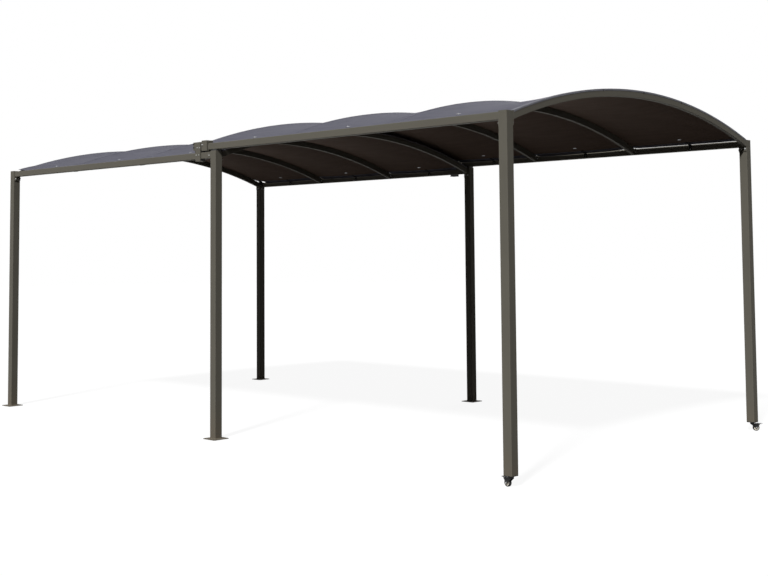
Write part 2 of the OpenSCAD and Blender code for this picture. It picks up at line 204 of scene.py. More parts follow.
bm = bmesh.new()
bmesh.ops.create_circle(bm, cap_ends=True, segments=96, radius=FLOOR_RADIUS)
floor_mesh = bpy.data.meshes.new("studio_floor")
bm.to_mesh(floor_mesh)
bm.free()
floor_mesh.materials.append(floor_paint)
floor = bpy.data.objects.new("studio_floor", floor_mesh)
bpy.context.collection.objects.link(floor)
print("floor", 2 * FLOOR_RADIUS, "m across")

# %% [markdown]
# The tubes are rolled steel with a satin powder coat in a taupe grey. Powder
# melts into a skin with a fine orange peel, about 2 mm from hump to hump, and
# its colour drifts a little along a tube. It is matt enough that the sky only
# shows as a soft lift on the rounded corners. Rain splashes soil on the lowest
# part of the posts, so a patchy brown dust lies there and fades out 0.3 m up.

# %% Powder coat
COAT_DRIFT, PEEL, PEEL_DEPTH = 350 * MM, 2 * MM, 0.3 * MM
DUST_TOP, DUST_PATCH, DUST_SHARE = 300 * MM, 25 * MM, 0.55
coat, tree = new_material("satin_powder_coat_on_steel")
place = add(tree, "TexCoord").outputs["Object"]
drift = add(tree, "TexNoise", {"Vector": place, "Scale": 1 / COAT_DRIFT, "Detail": 3.0})
tone = add(tree, "ValToRGB", {"Fac": drift.outputs["Fac"]})
tone.color_ramp.elements[0].color = paint("#5a574f")
tone.color_ramp.elements[1].color = paint("#636057")
peel = add(tree, "TexNoise", {"Vector": place, "Scale": 1 / PEEL, "Detail": 1.0})
bump = add(tree, "Bump", {"Height": peel.outputs["Fac"], "Strength": 0.12, "Distance": PEEL_DEPTH})
rough = add(tree, "MapRange", {"Value": drift.outputs["Fac"], "To Min": 0.58, "To Max": 0.70})
height = add(tree, "SeparateXYZ", {"Vector": place}).outputs["Z"]
splash = add(tree, "MapRange", {"Value": height, "From Max": DUST_TOP, "To Min": DUST_SHARE, "To Max": 0.0})
patches = add(tree, "TexNoise", {"Vector": place, "Scale": 1 / DUST_PATCH, "Detail": 3.0})
dusty = add(tree, "Math", {0: splash.outputs["Result"], 1: patches.outputs["Fac"]}, operation="MULTIPLY")
colours = {"Factor": dusty.outputs[0], 6: tone.outputs["Color"], 7: paint("#6a5a48")}
stained = add(tree, "Mix", colours, data_type="RGBA")
skin = add(tree, "BsdfPrincipled", {
    "Base Color": stained.outputs[2], "Roughness": rough.outputs["Result"],
    "Specular IOR Level": 0.10, "Normal": bump.outputs["Normal"],
})
add(tree, "OutputMaterial", {"Surface": skin.outputs[0]})
print("made", coat.name)

# %% [markdown]
# The roof is a plain-woven polyester with a coating, grey with a hint of
# violet. The inner face is painted browner and darker than the outer one:
# that is painted shade, with a painted brown glow of sun through the cloth
# and of light off the ground. The threads are about 0.6 mm apart, far too
# fine for this picture, so the weave is drawn ten times as coarse. A wave
# texture of scale 1 repeats every tau / 20 m, which gives its scale here.
# Wind and packing leave soft streaks along the cloth, about 280 mm long and
# 50 mm wide.

# %% Cloth, outer and inner face
DRAWN_THREADS = 6 * MM
WAVE_REPEAT = math.tau / 20
WEAVE_SCALE, WEAVE_DEPTH = WAVE_REPEAT / DRAWN_THREADS, 0.4 * MM
STREAK_SCALE, STREAK_STRETCH = 4.0, (0.9, 5.0, 5.0)


def woven(name, shade, light, sheen):
    material, tree = new_material(name)
    place = add(tree, "TexCoord").outputs["Object"]
    across = add(tree, "TexWave", {"Vector": place, "Scale": WEAVE_SCALE}, bands_direction="X")
    along = add(tree, "TexWave", {"Vector": place, "Scale": WEAVE_SCALE}, bands_direction="Y")
    weave = add(tree, "Math", {0: across.outputs["Fac"], 1: along.outputs["Fac"]}, operation="MULTIPLY")
    stretch = add(tree, "Mapping", {"Vector": place, "Scale": STREAK_STRETCH})
    streak = add(tree, "TexNoise", {"Vector": stretch.outputs[0], "Scale": STREAK_SCALE, "Detail": 4.0})
    tone = add(tree, "ValToRGB", {"Fac": streak.outputs["Fac"]})
    tone.color_ramp.elements[0].position = 0.3
    tone.color_ramp.elements[0].color = paint(shade)
    tone.color_ramp.elements[1].position = 0.7
    tone.color_ramp.elements[1].color = paint(light)
    bump = add(tree, "Bump", {"Height": weave.outputs[0], "Strength": 0.15, "Distance": WEAVE_DEPTH})
    face = add(tree, "BsdfPrincipled", {
        "Base Color": tone.outputs["Color"], "Roughness": 0.88, "Specular IOR Level": 0.05,
        "Sheen Weight": sheen, "Sheen Roughness": 0.5, "Normal": bump.outputs["Normal"],
    })
    add(tree, "OutputMaterial", {"Surface": face.outputs[0]})
    return material


cloth_outer = woven("coated_polyester_outer_face", "#56565f", "#5c5c66", 0.01)
# The inner face's browner, darker colour is painted shade and a painted brown glow.
cloth_inner_painted_shade = woven("coated_polyester_inner_face_painted_shade", "#56483f", "#5e4f46", 0.0)
print("made", cloth_outer.name, "and", cloth_inner_painted_shade.name)

# %% [markdown]
# The small parts have their own finishes: black zinc on the plates and forks
# of the castors, black plastic pedals, nylon glides, a cream-grey wheel core,
# a rubber tyre, bright zinc on eyelets and axle nuts, and a duller zinc flake
# on the bolts. Each gets its own gloss and a faint grain, drawn 1 to 3 mm wide,
# which is coarser than the real one, so that it shows.


# %% Small finishes
def grained(name, shade, light, grain, roughness, depth=0.2 * MM, metallic=0.0, specular=0.5):
    material, tree = new_material(name)
    place = add(tree, "TexCoord").outputs["Object"]
    speck = add(tree, "TexNoise", {"Vector": place, "Scale": 1 / grain, "Detail": 2.0})
    tone = add(tree, "ValToRGB", {"Fac": speck.outputs["Fac"]})
    tone.color_ramp.elements[0].color = paint(shade)
    tone.color_ramp.elements[1].color = paint(light)
    bump = add(tree, "Bump", {"Height": speck.outputs["Fac"], "Strength": 0.2, "Distance": depth})
    face = add(tree, "BsdfPrincipled", {
        "Base Color": tone.outputs["Color"], "Roughness": roughness, "Metallic": metallic,
        "Specular IOR Level": specular, "Normal": bump.outputs["Normal"],
    })
    add(tree, "OutputMaterial", {"Surface": face.outputs[0]})
    return material


finishes = {
    "powder_coat": coat,
    "canopy_cloth": cloth_outer,
    "zinc": grained("bright_zinc_plate", "#8b8d8e", "#a3a5a6", 3 * MM, 0.46, metallic=1.0),
    "black_steel": grained("black_zinc_on_pressed_steel", "#101010", "#1c1c1d", 2 * MM, 0.50, specular=0.2),
    "black_plastic": grained("moulded_black_plastic", "#161616", "#202020", 1 * MM, 0.55),
    "nylon": grained("black_nylon", "#1b1b1b", "#262626", 1 * MM, 0.62),
    "wheel_grey": grained("cream_grey_polypropylene", "#cfcabe", "#ddd8cc", 1.5 * MM, 0.5),
    "tyre_rubber": grained("black_rubber_tread", "#121212", "#1e1e1e", 1 * MM, 0.85, specular=0.25),
}
flake_zinc = grained("zinc_flake_coat", "#a4a5a3", "#b8b9b7", 2 * MM, 0.55, specular=0.3)
for subpart in frame["record"]["subparts"]:
    mesh = bpy.data.objects[subpart["node"]].data
    mesh.materials.clear()
    mesh.materials.append(finishes[subpart["material_slot"]])

# %% [markdown]
# Every piece made here ends the same way: its bmesh becomes an object at the
# origin, gets its finish, and rides on the bay or castor that carries it.
# Smooth shading would smear the light round the thin edges of a cloth or a hem,
# so an edge that turns by more than half a right angle is kept sharp.

# %% Piece helper
SHARP_ANGLE = math.radians(45)


def piece(name, bm, material, body, smooth=False):
    mesh = bpy.data.meshes.new(name)
    for face in bm.faces:
        face.smooth = smooth
    for edge in bm.edges:
        edge.smooth = smooth and edge.calc_face_angle(0.0) < SHARP_ANGLE
    bm.to_mesh(mesh)
    bm.free()
    for each in material if isinstance(material, tuple) else (material,):
        mesh.materials.append(each)
    made = bpy.data.objects.new(name, mesh)
    bpy.context.collection.objects.link(made)
    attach(made, body)
    print("made", name, "with", len(mesh.polygons), "faces")
    return made


# %% [markdown]
# Each cloth is one sheet that lies on four arches and hangs a little between
# them, tighter at the hems than in the middle. The arches are circles through
# the tops of the beams, so a few sizes from the drawing give the height of the
# cloth anywhere. The cloth between two arches is called a field here. Faint
# folds fan out from the corners of each field, where the cloth is pulled, and a
# slow noise keeps it from looking machined. The last field has a patch of
# slanting wrinkles, and at the outer corners of the fixed bay the cloth is slack
# and stands up a little from its arch.

# %% Shape of the cloth
ARCH_RISE, END_ARCH_RISE = 262 * MM, 248 * MM
ARCH_LIFT, ARCH_WIDTH = 4 * MM, 30 * MM
CLOTH_LIFT, CLOTH_THICK = 0.9 * MM, 1.0 * MM
HEM_FROM_POST = 9 * MM
SAG = 42 * MM
CORNER_LIFT, CORNER_REACH = 15 * MM, 150 * MM
HEM_SAGS = {"fixed": (9 * MM, 9 * MM, 8 * MM), "mobile": (8 * MM, 6 * MM, 1 * MM)}
RISES = {"fixed": (ARCH_RISE,) * 4, "mobile": (ARCH_RISE,) * 3 + (END_ARCH_RISE,)}
FIELDS = range(3)

post_low, post_high = corners("post_front_outer")
half_rows = abs(first_post.y)
half_chord = half_rows - (post_high.x - post_low.x) / 2
cloth_half = half_chord - HEM_FROM_POST
springs = {bay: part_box(f"{bay}_beam_front")[1][2] + ARCH_LIFT for bay in RISES}


def rib_lines(bay):
    places = [middle(f"{bay}_arch_{i}").x for i in (1, 2, 3, 4)]
    if bay == "mobile":
        places[3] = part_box("mobile_arch_4")[1][0] - ARCH_WIDTH / 2
    return places


lines = {bay: rib_lines(bay) for bay in RISES}


def arch_height(y, rise):
    radius = (half_chord**2 + rise**2) / (2 * rise)
    return rise - radius + math.sqrt(radius**2 - y**2)


for bay in RISES:
    off = springs[bay] + ARCH_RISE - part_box(f"{bay}_arch_2")[1][2]
    print(bay, "ribs at", [round(c, 3) for c in lines[bay]], "crown off by", round(off, 5))

# %% Folds, wrinkles and slack
FOLD_RAYS, FOLD_REACH, FOLD_HEIGHT, FOLD_FADE = 11, 0.16, 45 * MM, 0.7
SLOW_HEIGHT, RIPPLE_HEIGHT, CALM_AT_HEM = 4 * MM, 1.2 * MM, 0.7
# Humps in a metre along and across the roof, and a layer of the noise
SLOW_NOISE, RIPPLE_NOISE, WANDER_NOISE = (1.7, 0.9, 3.1), (6.0, 1.4, 8.4), (3, 3, 0)
WRINKLE_PITCH, WRINKLE_HEIGHT, WRINKLE_SLANT, WRINKLE_WANDER = 130 * MM, 2.2 * MM, (0.8, 0.6), 2
# Along the field from 0 to 1, and across it from -1 to 1
WRINKLE_MIDDLE, WRINKLE_REACH = (0.62, 0.35), (0.22, 0.3)
CORNER_FADE = 0.7
TINY = 1e-6


def noise_at(x, y, kind):
    return noise.noise(Vector((x * kind[0], y * kind[1], kind[2])))


def folds(t, v, x, y):
    fan = 0.0
    for end in (0, 1):
        for side in (-1, 1):
            along, across = abs(t - end), abs(v - side)
            reach = math.hypot(along, across)
            turn = math.atan2(across, along + TINY)
            fan += math.cos(turn * FOLD_RAYS + 3 * end) * reach * math.exp(-reach / FOLD_REACH)
    slow, ripple = noise_at(x, y, SLOW_NOISE), noise_at(x, y, RIPPLE_NOISE)
    height = fan * FOLD_HEIGHT + slow * SLOW_HEIGHT + ripple * RIPPLE_HEIGHT
    return height * math.sin(math.pi * t) ** FOLD_FADE


def pulled_wrinkles(t, v, x, y):
    run = WRINKLE_SLANT[0] * x + WRINKLE_SLANT[1] * y
    waves = math.sin(math.tau * run / WRINKLE_PITCH + WRINKLE_WANDER * noise_at(x, y, WANDER_NOISE))
    along = (t - WRINKLE_MIDDLE[0]) / WRINKLE_REACH[0]
    across = (v - WRINKLE_MIDDLE[1]) / WRINKLE_REACH[1]
    return WRINKLE_HEIGHT * waves * math.exp(-along**2 - across**2)


def slack_corner(bay, x, y):
    if bay == "mobile":
        return 0.0
    along = x - lines[bay][0] + ARCH_WIDTH / 2
    reach = math.hypot(along, max(cloth_half - abs(y), 0.0))
    return CORNER_LIFT * max(0.0, 1 - reach / CORNER_REACH) ** CORNER_FADE


def cloth_height(bay, x, y):
    places = lines[bay]
    k = min(max(sum(x > place for place in places) - 1, 0), 2)
    start, stop = places[k] + ARCH_WIDTH / 2 + MM, places[k + 1] - ARCH_WIDTH / 2 - MM
    t = min(max((x - start) / (stop - start), 0.0), 1.0)
    v = y / cloth_half
    rise = RISES[bay][k] + t * (RISES[bay][k + 1] - RISES[bay][k])
    hem = HEM_SAGS[bay][k]
    drop = 4 * t * (1 - t) * (SAG - (SAG - hem) * v * v)
    fold = folds(t, v, x, y) * (1 - CALM_AT_HEM * v * v) if 0 < t < 1 else 0.0
    if bay == "mobile" and k == 2:
        fold += pulled_wrinkles(t, v, x, y) * math.sin(math.pi * t)
    return springs[bay] + arch_height(y, rise) + CLOTH_LIFT - drop + fold + slack_corner(bay, x, y)


for bay in RISES:
    crown = (lines[bay][1] + lines[bay][2]) / 2
    print(bay, "cloth stands", round(cloth_height(bay, crown, 0), 3), "m high in the middle")

# %% [markdown]
# The sheet starts as a flat grid. Its columns are moved to the edges of the
# arches and to even places between them, and each point is then lifted to the
# height worked out above. Near both hems, half way between two arches, an
# eyelet lets rain drain off: one face of the grid is inset, its edges are cut
# in half, and the eight points are pulled on to a circle before the face is
# taken out. Solidify gives the sheet its thickness last.

# %% Sheets with drain holes
FIELD_COLUMNS, CLOTH_ROWS = 40, 104
EYELET_FROM_HEM, EYELET_RADIUS, EYELET_INSET = 97 * MM, 10 * MM, 4 * MM


def sheet_columns(bay):
    places = lines[bay]
    half = ARCH_WIDTH / 2
    columns = [places[0] - half]
    for k in FIELDS:
        start, stop = places[k] + half + MM, places[k + 1] - half - MM
        columns += [start + (stop - start) * i / FIELD_COLUMNS for i in range(FIELD_COLUMNS + 1)]
    return columns + [places[3] + half]


def cloth_grid(bay, columns, rows, lift=0.0):
    bm = bmesh.new()
    bmesh.ops.create_grid(bm, x_segments=len(columns) - 1, y_segments=len(rows) - 1, size=0.5)
    for vert in bm.verts:
        x = columns[round((vert.co.x + 0.5) * (len(columns) - 1))]
        y = rows[round((vert.co.y + 0.5) * (len(rows) - 1))]
        vert.co = (x, y, cloth_height(bay, x, y) + lift)
    return bm


def eyelet_places(bay):
    for k in FIELDS:
        x = (lines[bay][k] + lines[bay][k + 1]) / 2
        for side in (-1, 1):
            yield Vector((x, side * (cloth_half - EYELET_FROM_HEM), 0))


def nearest_face(bm, place):
    return min(bm.faces, key=lambda face: (face.calc_center_median().xy - place.xy).length)


def cut_hole(bm, place, bay):
    face = nearest_face(bm, place)
    bmesh.ops.inset_individual(bm, faces=[face], thickness=EYELET_INSET)
    bmesh.ops.subdivide_edges(bm, edges=face.edges[:], cuts=1)
    hole = nearest_face(bm, place)
    centre = hole.calc_center_median()
    for vert in hole.verts:
        x, y = centre.xy + (vert.co.xy - centre.xy).normalized() * EYELET_RADIUS
        vert.co = (x, y, cloth_height(bay, x, y))
    bmesh.ops.delete(bm, geom=[hole], context="FACES")
    return centre


def thicken(bm, thick):
    bmesh.ops.recalc_face_normals(bm, faces=bm.faces[:])
    if sum(face.normal.z for face in bm.faces) < 0:
        bmesh.ops.reverse_faces(bm, faces=bm.faces[:])
    for vert in bm.verts:
        vert.co.z += thick / 2
    bmesh.ops.solidify(bm, geom=bm.faces[:], thickness=thick)
    bmesh.ops.recalc_face_normals(bm, faces=bm.faces[:])


rows = [cloth_half * (2 * j / CLOTH_ROWS - 1) for j in range(CLOTH_ROWS + 1)]
both_faces = (cloth_outer, cloth_inner_painted_shade)
canopies, holes = {}, {}
for bay in RISES:
    bm = cloth_grid(bay, sheet_columns(bay), rows)
    cut = sum(face.calc_area() for face in bm.faces)
    holes[bay] = [cut_hole(bm, place, bay) for place in eyelet_places(bay)]
    thicken(bm, CLOTH_THICK)
    # Faces that look down get the inner face, whose colour is painted shade.
    for face in bm.faces:
        face.material_index = 1 if face.normal.z < 0 else 0
    canopies[bay] = piece(f"{bay}_cloth", bm, both_faces, f"{bay}_frame", smooth=True)
    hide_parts(f"{bay}_canopy")
    print(bay, "cloth area", round(cut, 3), "square metres")

# %% [markdown]
# A raw edge of cloth would fray, so no edge is left raw. The long edges are
# folded into hems 32 mm wide and three layers thick. The end edges have a
# woven binding that lies on the end arches and turns down over their outer
# edge. Its paler colour is a painted highlight, the sunlit edge that shows as
# a pale line along the top of the last arch. A sewn tape covers the seam over
# each inner arch.

# %% Hems, bindings and seam tapes
HEM_WIDTH, HEM_THICK, HEM_PAST_CLOTH, HEM_CELLS = 32 * MM, 2.8 * MM, 0.8 * MM, 4
TAPE_WIDTH, TAPE_THICK, TAPE_LIFT, TAPE_CELLS = 46 * MM, 0.9 * MM, 1.0 * MM, 6
BINDING_THICK = 1.2 * MM
# Outwards from the middle of the end arch and up from its top, in mm
BINDING_SECTION = ((-14, 1.6), (0, 1.6), (14.6, 1.6), (16.4, 0.4), (16.6, -4), (16.4, -11))
hem_cloth = woven("folded_hem_cloth", "#5a5a64", "#62626c", 0.01)
# The binding's paler colour is a painted highlight on the sunlit hem edge.
painted_highlight_binding = woven("woven_edge_binding_painted_highlight", "#78787f", "#85858c", 0.01)


def join(bm, other):
    mesh = bpy.data.meshes.new("joined")
    other.to_mesh(mesh)
    other.free()
    bm.from_mesh(mesh)
    bpy.data.meshes.remove(mesh)


def long_hems(bay):
    bm = bmesh.new()
    for side in (-1, 1):
        outer = cloth_half + HEM_PAST_CLOTH
        strip = [side * (outer - HEM_WIDTH * j / HEM_CELLS) for j in range(HEM_CELLS + 1)]
        band = cloth_grid(bay, sheet_columns(bay), strip)
        thicken(band, HEM_THICK)
        join(bm, band)
    return piece(f"{bay}_long_hems", bm, hem_cloth, f"{bay}_frame", smooth=True)


def end_hem(bay, end, outwards):
    rib = lines[bay][end]
    cells = len(BINDING_SECTION) - 1
    bm = bmesh.new()
    bmesh.ops.create_grid(bm, x_segments=cells, y_segments=CLOTH_ROWS, size=0.5)
    for vert in bm.verts:
        across, lift = BINDING_SECTION[round((vert.co.x + 0.5) * cells)]
        y = rows[round((vert.co.y + 0.5) * CLOTH_ROWS)]
        slack = slack_corner(bay, rib, y)
        turned = lift if lift > 0 else lift * (1 - slack / CORNER_LIFT)
        height = springs[bay] + arch_height(y, RISES[bay][end]) + CLOTH_LIFT + slack
        vert.co = (rib + outwards * across * MM, y, height + turned * MM)
    thicken(bm, BINDING_THICK)
    return bm


def end_hems(bay):
    bm = bmesh.new()
    join(bm, end_hem(bay, 0, -1))
    join(bm, end_hem(bay, 3, 1))
    return piece(f"{bay}_end_hems", bm, painted_highlight_binding, f"{bay}_frame", smooth=True)


def seam_tapes(bay):
    bm = bmesh.new()
    for rib in lines[bay][1:3]:
        strip = [rib + TAPE_WIDTH * (i / TAPE_CELLS - 0.5) for i in range(TAPE_CELLS + 1)]
        tape = cloth_grid(bay, strip, rows, lift=TAPE_LIFT)
        thicken(tape, TAPE_THICK)
        join(bm, tape)
    return piece(f"{bay}_seam_tapes", bm, hem_cloth, f"{bay}_frame", smooth=True)


edges = {bay: [long_hems(bay), end_hems(bay), seam_tapes(bay)] for bay in RISES}

# %% [markdown]
# Between the arches the free edge of each long hem hangs down a little inside
# the beam and hides the gap there. The photograph shows daylight over the
# rear beam only at the far corner, in the last field and in half of the one
# before it, so the edge is short there and starts late at the corners.

# %% Hanging edges
# Drop of the edge in mm, at the start and at the end of each field
EDGE_DROPS = {"fixed": ((13, 13),) * 3, "mobile": ((13, 13), (15, 4.0), (6.0, 5.5))}
EDGE_STEPS, EDGE_TAPER, CORNER_GAP, EDGE_FROM_RIB = 40, 20, 105 * MM, 18 * MM
EDGE_INSET, EDGE_LIFT, EDGE_THICK = 1.5 * MM, 0.6 * MM, 1.2 * MM
EDGE_BEND, BEND_CELLS = 2.5 * MM, 2


def hanging_edge(bay, k, side):
    first, last = lines[bay][k] + EDGE_FROM_RIB, lines[bay][k + 1] - EDGE_FROM_RIB
    first += CORNER_GAP if k == 0 else 0
    last -= CORNER_GAP if k == 2 and bay == "fixed" else 0
    bm = bmesh.new()
    bmesh.ops.create_grid(bm, x_segments=EDGE_STEPS, y_segments=2 * BEND_CELLS, size=0.5)
    for vert in bm.verts:
        t, j = vert.co.x + 0.5, round((vert.co.y + 0.5) * 2 * BEND_CELLS)
        x = first + t * (last - first)
        drop = (EDGE_DROPS[bay][k][0] * (1 - t) + EDGE_DROPS[bay][k][1] * t) * MM
        drop *= min(1.0, EDGE_TAPER * t, EDGE_TAPER * (1 - t)) ** 0.5
        turn = math.pi / 2 * min(j / BEND_CELLS, 1.0)
        y = side * (cloth_half - EDGE_INSET + EDGE_BEND * math.sin(turn))
        z = cloth_height(bay, x, side * cloth_half) + EDGE_LIFT - EDGE_BEND * (1 - math.cos(turn))
        vert.co = (x, y, z - drop * max(0, j - BEND_CELLS) / BEND_CELLS)
    bmesh.ops.remove_doubles(bm, verts=bm.verts[:], dist=TINY)
    bmesh.ops.recalc_face_normals(bm, faces=bm.faces[:])
    bmesh.ops.solidify(bm, geom=bm.faces[:], thickness=EDGE_THICK)
    bmesh.ops.recalc_face_normals(bm, faces=bm.faces[:])
    return bm


for bay in RISES:
    bm = bmesh.new()
    for k in FIELDS:
        for side in (-1, 1):
            join(bm, hanging_edge(bay, k, side))
    hung = piece(f"{bay}_hanging_edges", bm, hem_cloth, f"{bay}_frame", smooth=True)
    edges[bay].append(hung)

# %% [markdown]
# A strap of black webbing, screwed to the inside of the beam, holds each hem
# down beside its eyelet, and a wider tab does so at the outer corners of the
# fixed bay. Each is a narrow grid bent along a few points, from under the cloth
# past its edge to the beam, then cut finer along that path and thickened.

# %% Hem straps
BEAM_HALF = 25 * MM
STRAP_WIDTH, STRAP_THICK, STRAP_FROM_MIDDLE = 28 * MM, 1.2 * MM, 30 * MM
TAB_WIDTH, TAB_FROM_RIB = 55 * MM, 46 * MM
# Past the hem and under the cloth, then off the beam's inner face and under its top, in mm
STRAP_ON_CLOTH = ((-42, 3.4), (-20, 3.6), (-3, 3.2))
STRAP_BEND = (5, 9)
STRAP_ON_BEAM = ((3.2, 14), (1.6, 24), (1.0, 42))
SCREW_OFF_BEAM, SCREW_DOWN = 1.6 * MM, 38 * MM
webbing = woven("black_polyester_webbing", "#1b1b1c", "#262627", 0.03)


def straps_of(bay, k):
    made = [((lines[bay][k] + lines[bay][k + 1]) / 2 + STRAP_FROM_MIDDLE, STRAP_WIDTH)]
    if bay == "fixed" and k == 0:
        made.append((lines[bay][0] + TAB_FROM_RIB, TAB_WIDTH))
    return made


def strap(bay, x, width, side):
    inner_face, beam_top = half_rows - BEAM_HALF, springs[bay] - ARCH_LIFT
    points = []
    for past, under in STRAP_ON_CLOTH:
        y = cloth_half + past * MM
        points.append((y, cloth_height(bay, x, side * y) - under * MM))
    past, under = STRAP_BEND
    points.append((cloth_half + past * MM, cloth_height(bay, x, side * cloth_half) - under * MM))
    points += [(inner_face - off * MM, beam_top - down * MM) for off, down in STRAP_ON_BEAM]
    bm = bmesh.new()
    bmesh.ops.create_grid(bm, x_segments=2, y_segments=len(points) - 1, size=0.5)
    for vert in bm.verts:
        y, z = points[round((vert.co.y + 0.5) * (len(points) - 1))]
        vert.co = (x + width * vert.co.x, side * y, z)
    lengthways = [edge for edge in bm.edges if abs(edge.verts[0].co.x - edge.verts[1].co.x) < TINY]
    bmesh.ops.subdivide_edges(bm, edges=lengthways, cuts=3, smooth=1.0, use_grid_fill=True)
    bmesh.ops.recalc_face_normals(bm, faces=bm.faces[:])
    bmesh.ops.solidify(bm, geom=bm.faces[:], thickness=STRAP_THICK)
    bmesh.ops.recalc_face_normals(bm, faces=bm.faces[:])
    return bm


strap_screws = {bay: [] for bay in RISES}
screw_y = half_rows - BEAM_HALF - SCREW_OFF_BEAM
for bay in RISES:
    bm = bmesh.new()
    for k in FIELDS:
        for side in (-1, 1):
            for x, width in straps_of(bay, k):
                join(bm, strap(bay, x, width, side))
                strap_screws[bay].append((Vector((x, side * screw_y, springs[bay] - SCREW_DOWN)), -side))
    straps = piece(f"{bay}_hem_straps", bm, webbing, f"{bay}_frame", smooth=True)
    edges[bay].append(straps)

# %% [markdown]
# Two rows of stitches run along every hem and tape. A real stitch is about
# 4 mm long, which would vanish here, so they are drawn 11 mm long. A row is
# one narrow grid with three columns a stitch: the faces between two stitches
# are deleted, the middle column is lifted, and solidify gives it thickness.

# %% Stitches
STITCH, STITCH_PITCH, STITCH_WIDTH = 11 * MM, 16 * MM, 1.6 * MM
STITCH_RISE, STITCH_THICK, STITCH_MARGIN = 0.5 * MM, 0.6 * MM, 40 * MM
HEM_ROWS = (6 * MM, 25 * MM)
# Distance of a row from the middle of the arch, and its height over the cloth
TAPE_ROWS, BINDING_ROWS = (19 * MM, 1.9 * MM), (5 * MM, 2.4 * MM)
thread = woven("spun_polyester_thread", "#6b6b74", "#777780", 0.02)


def stitch_row(bay, lengthways, start, stop, line, up):
    count = int((stop - start) / STITCH_PITCH)
    cells = 3 * count - 1
    bm = bmesh.new()
    bmesh.ops.create_grid(bm, x_segments=cells, y_segments=1, size=0.5)
    gaps = [face for face in bm.faces if int((face.calc_center_median().x + 0.5) * cells) % 3 == 2]
    bmesh.ops.delete(bm, geom=gaps, context="FACES")
    for vert in bm.verts:
        column = round((vert.co.x + 0.5) * cells)
        run = start + column // 3 * STITCH_PITCH + column % 3 * STITCH / 2
        side = line + vert.co.y * STITCH_WIDTH
        x, y = (run, side) if lengthways else (side, run)
        rise = STITCH_RISE if column % 3 == 1 else 0.0
        vert.co = (x, y, cloth_height(bay, x, y) + up + rise)
    thicken(bm, STITCH_THICK)
    return bm


def stitched(bay):
    bm = bmesh.new()
    for side in (-1, 1):
        for inset in HEM_ROWS:
            line = side * (cloth_half - inset)
            join(bm, stitch_row(bay, True, lines[bay][0], lines[bay][3], line, HEM_THICK))
    half_row = cloth_half - STITCH_MARGIN
    for k, rib in enumerate(lines[bay]):
        reach, up = TAPE_ROWS if k in (1, 2) else BINDING_ROWS
        for shift in (-reach, reach):
            join(bm, stitch_row(bay, False, -half_row, half_row, rib + shift, up))
    return piece(f"{bay}_stitches", bm, thread, f"{bay}_frame")


for bay in RISES:
    edges[bay].append(stitched(bay))

# %% [markdown]
# An eyelet is a ring of zinc-plated steel, pressed round the edge of the hole so
# that it grips both faces of the cloth. Its round section, a loop of eight
# points, is spun once about the middle of the hole.

# %% Eyelets
RING_RADIUS, RING_ROLL, RING_SIDES, RING_STEPS = EYELET_RADIUS + 2.6 * MM, 3.0 * MM, 8, 20


def ring(bm, centre):
    verts = []
    for i in range(RING_SIDES):
        a = math.tau * i / RING_SIDES
        out = Vector((RING_RADIUS + RING_ROLL * math.cos(a), 0, RING_ROLL * math.sin(a)))
        verts.append(bm.verts.new(centre + out))
    section = [bm.edges.new((verts[i], verts[(i + 1) % RING_SIDES])) for i in range(RING_SIDES)]
    bmesh.ops.spin(bm, geom=verts + section, cent=centre, axis=(0, 0, 1), angle=math.tau,
                   steps=RING_STEPS, use_merge=True)


def eyelets(bay):
    bm = bmesh.new()
    for centre in holes[bay]:
        ring(bm, Vector(centre))
    bmesh.ops.remove_doubles(bm, verts=bm.verts[:], dist=TINY)
    bmesh.ops.recalc_face_normals(bm, faces=bm.faces[:])
    return piece(f"{bay}_eyelets", bm, finishes["zinc"], f"{bay}_frame", smooth=True)


for bay in RISES:
    edges[bay].append(eyelets(bay))

# %% [markdown]
# Bolts hold the welded end plates to the posts and beams, and screws hold the
# straps. A hexagon head is a six-sided prism with a softened rim, set on a round
# washer. A pan head is a flattened ball whose lower half is taken off, with the
# open rim filled. The same two helpers make every bolt and screw.

# %% Bolt and screw helpers
# Washer and head as shares of the width across the flats
WASHER_RADIUS, WASHER_HIGH, HEAD_HIGH = 0.62, 0.12, 0.40
WASHER_SOFT, HEAD_SOFT = 0.3 * MM, 0.8 * MM
SCREW_WIDTH, SCREW_HIGH = 9 * MM, 0.36
UP = Vector((0, 0, 1))


def seat_on(place, towards):
    return Matrix.Translation(place) @ UP.rotation_difference(Vector(towards)).to_matrix().to_4x4()


def edges_among(bm, verts):
    return [edge for edge in bm.edges if verts.issuperset(edge.verts)]


def soften(bm, rim, offset, segments):
    bmesh.ops.bevel(bm, geom=rim, offset=offset, offset_type="OFFSET", segments=segments,
                    profile=0.5, affect="EDGES", material=-1)


def disc(bm, seat, sides, radius, foot, top, soft):
    halfway = (foot + top) / 2
    verts = bmesh.ops.create_cone(bm, cap_ends=True, segments=sides, radius1=radius, radius2=radius,
                                  depth=top - foot, matrix=seat @ Matrix.Translation(UP * halfway))["verts"]
    away = seat.to_3x3() @ UP
    upper = {vert for vert in verts if (vert.co - seat.translation).dot(away) > halfway}
    soften(bm, edges_among(bm, upper), soft, 2)


def hex_bolt(bm, place, towards, flats=13 * MM):
    seat = seat_on(place, towards)
    washer = WASHER_HIGH * flats
    disc(bm, seat, 24, WASHER_RADIUS * flats, 0, washer, WASHER_SOFT)
    disc(bm, seat, 6, flats / 3**0.5, washer, washer + HEAD_HIGH * flats, HEAD_SOFT)


